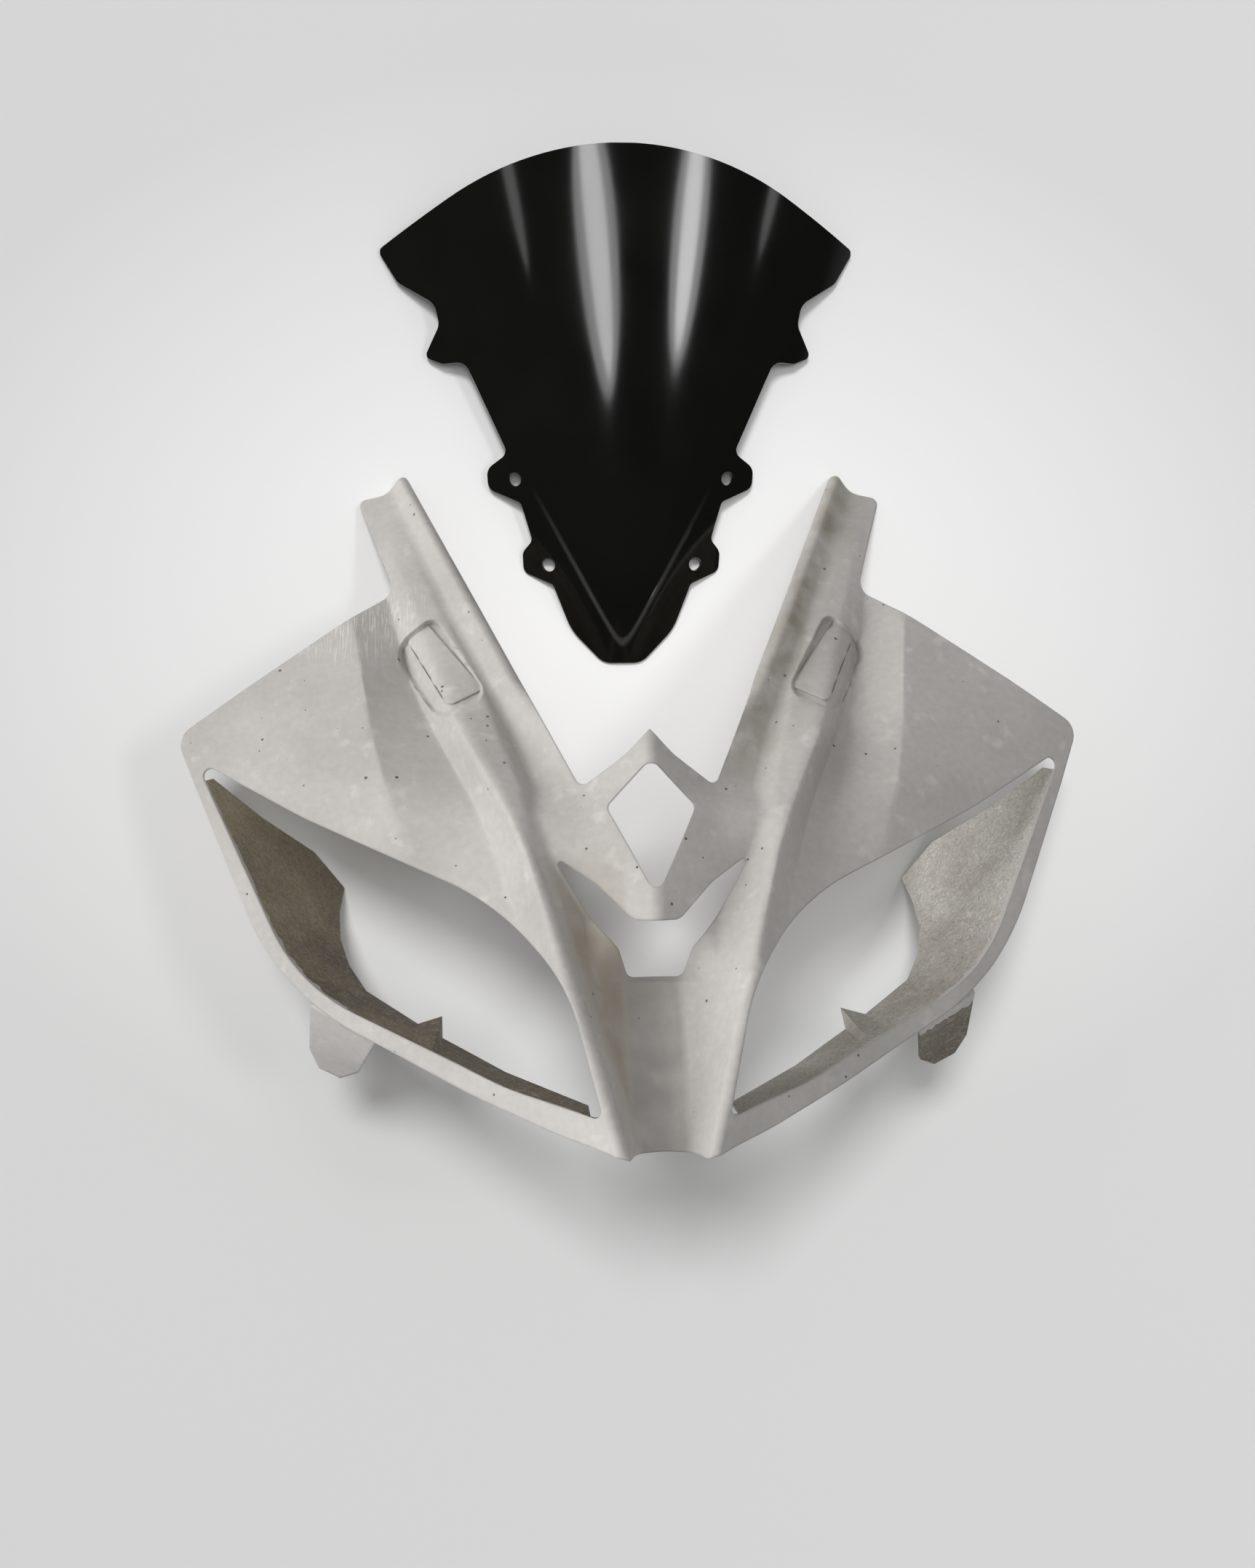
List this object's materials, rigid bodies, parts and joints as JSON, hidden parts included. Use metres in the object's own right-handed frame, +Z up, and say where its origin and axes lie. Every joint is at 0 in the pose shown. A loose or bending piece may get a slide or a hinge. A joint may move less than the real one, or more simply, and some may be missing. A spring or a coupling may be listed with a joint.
{
  "type": "motorcycle fairing",
  "caption": "Unpainted moulded nose cowl with headlight openings, blades and vents, lying face up beside its dark bubble windscreen.",
  "frame": {"origin": "centre of the layout's footprint, on the floor", "axes": "+X to the right as the picture shows it, +Y from the nose towards the top of the screen, +Z up from the floor"},
  "size_m": [0.6152, 0.672, 0.3254],
  "materials": {
    "raw_gelcoat": "raw grey gelcoat, sanded in places",
    "smoked_acrylic": "gloss black acrylic"
  },
  "bodies": {
    "root": {"nose_cowl": "raw_gelcoat", "windscreen": "smoked_acrylic"}
  },
  "joints": []
}
